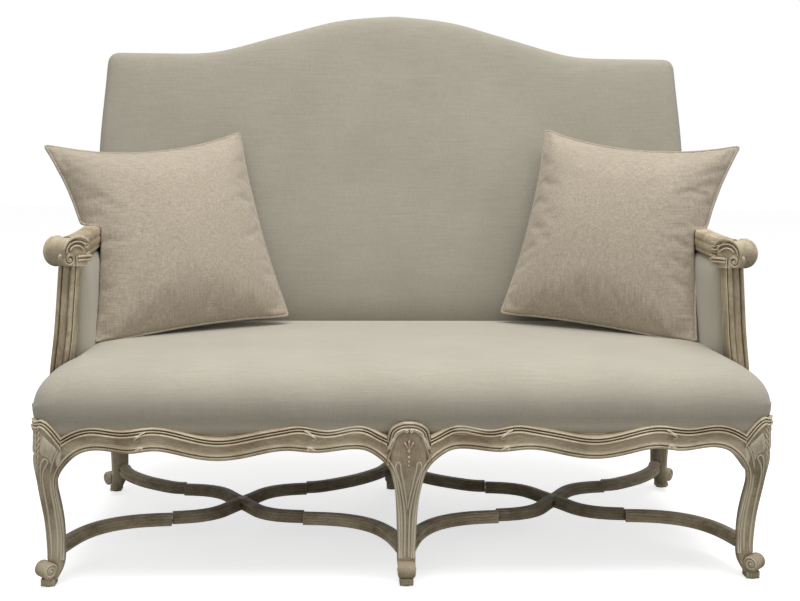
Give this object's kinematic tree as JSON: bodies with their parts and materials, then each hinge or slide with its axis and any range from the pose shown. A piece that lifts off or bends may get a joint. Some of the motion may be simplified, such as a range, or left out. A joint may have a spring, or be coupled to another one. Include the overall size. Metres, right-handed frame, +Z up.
{
  "type": "two-seat settee",
  "caption": "Camel-back settee on carved cabriole legs joined by crossed stretchers, with an upholstered seat, back and arms and two loose square cushions.",
  "frame": {"origin": "on the floor under the middle of the whole settee", "axes": "+X to the right seen from the front, +Y to the back, +Z up"},
  "size_m": [1.5388, 0.8302, 1.1767],
  "materials": {
    "limed_oak": "limed, waxed and worn",
    "plain_beech": "planed, unfinished",
    "linen": "plain weave linen",
    "cushion_linen": "slubbed linen",
    "padding": "hair and felt padding",
    "cushion_filling": "feather filling in a cotton case",
    "hessian": "jute hessian and webbing",
    "lining": "black cambric",
    "steel": "plain steel"
  },
  "bodies": {
    "frame": {"arm_cover_left": "linen", "arm_cover_right": "linen", "arm_pad_left": "padding", "arm_pad_right": "padding", "arm_rail_left": "limed_oak", "arm_rail_right": "limed_oak", "arm_stump_left": "limed_oak", "arm_stump_right": "limed_oak", "back_bottom_rail": "plain_beech", "back_cover": "linen", "back_hessian": "hessian", "back_muntin": "plain_beech", "back_pad": "padding", "back_post_left": "plain_beech", "back_post_right": "plain_beech", "back_top_rail": "plain_beech", "back_webbing": "hessian", "block_screws": "steel", "corner_blocks": "plain_beech", "cross_rail": "plain_beech", "dust_cover": "lining", "front_leg_centre": "limed_oak", "front_leg_left": "limed_oak", "front_leg_right": "limed_oak", "front_rail_left": "limed_oak", "front_rail_right": "limed_oak", "nail_glides": "steel", "outside_arm_cover_left": "linen", "outside_arm_cover_right": "linen", "outside_back_cover": "linen", "rear_leg_centre": "limed_oak", "rear_leg_left": "limed_oak", "rear_leg_right": "limed_oak", "rear_rail_left": "plain_beech", "rear_rail_right": "plain_beech", "seat_cover": "linen", "seat_hessian": "hessian", "seat_pad": "padding", "seat_springs": "steel", "side_rail_left": "limed_oak", "side_rail_right": "limed_oak", "spring_clips": "steel", "stretcher_front_inner_left": "limed_oak", "stretcher_front_inner_right": "limed_oak", "stretcher_front_outer_left": "limed_oak", "stretcher_front_outer_right": "limed_oak", "stretcher_hub_left": "limed_oak", "stretcher_hub_right": "limed_oak", "stretcher_rear_inner_left": "limed_oak", "stretcher_rear_inner_right": "limed_oak", "stretcher_rear_outer_left": "limed_oak", "stretcher_rear_outer_right": "limed_oak"},
    "left_cushion": {"cushion_cover_left": "cushion_linen", "cushion_insert_left": "cushion_filling"},
    "right_cushion": {"cushion_cover_right": "cushion_linen", "cushion_insert_right": "cushion_filling"}
  },
  "joints": [
    {"name": "left_cushion_lift", "type": "slide", "parent": "frame", "child": "left_cushion", "axis": [0.4392, -0.809, 0.3907], "range_m": [0, 0.25]},
    {"name": "right_cushion_lift", "type": "slide", "parent": "frame", "child": "right_cushion", "axis": [-0.4392, -0.809, 0.3907], "range_m": [0, 0.25]}
  ]
}
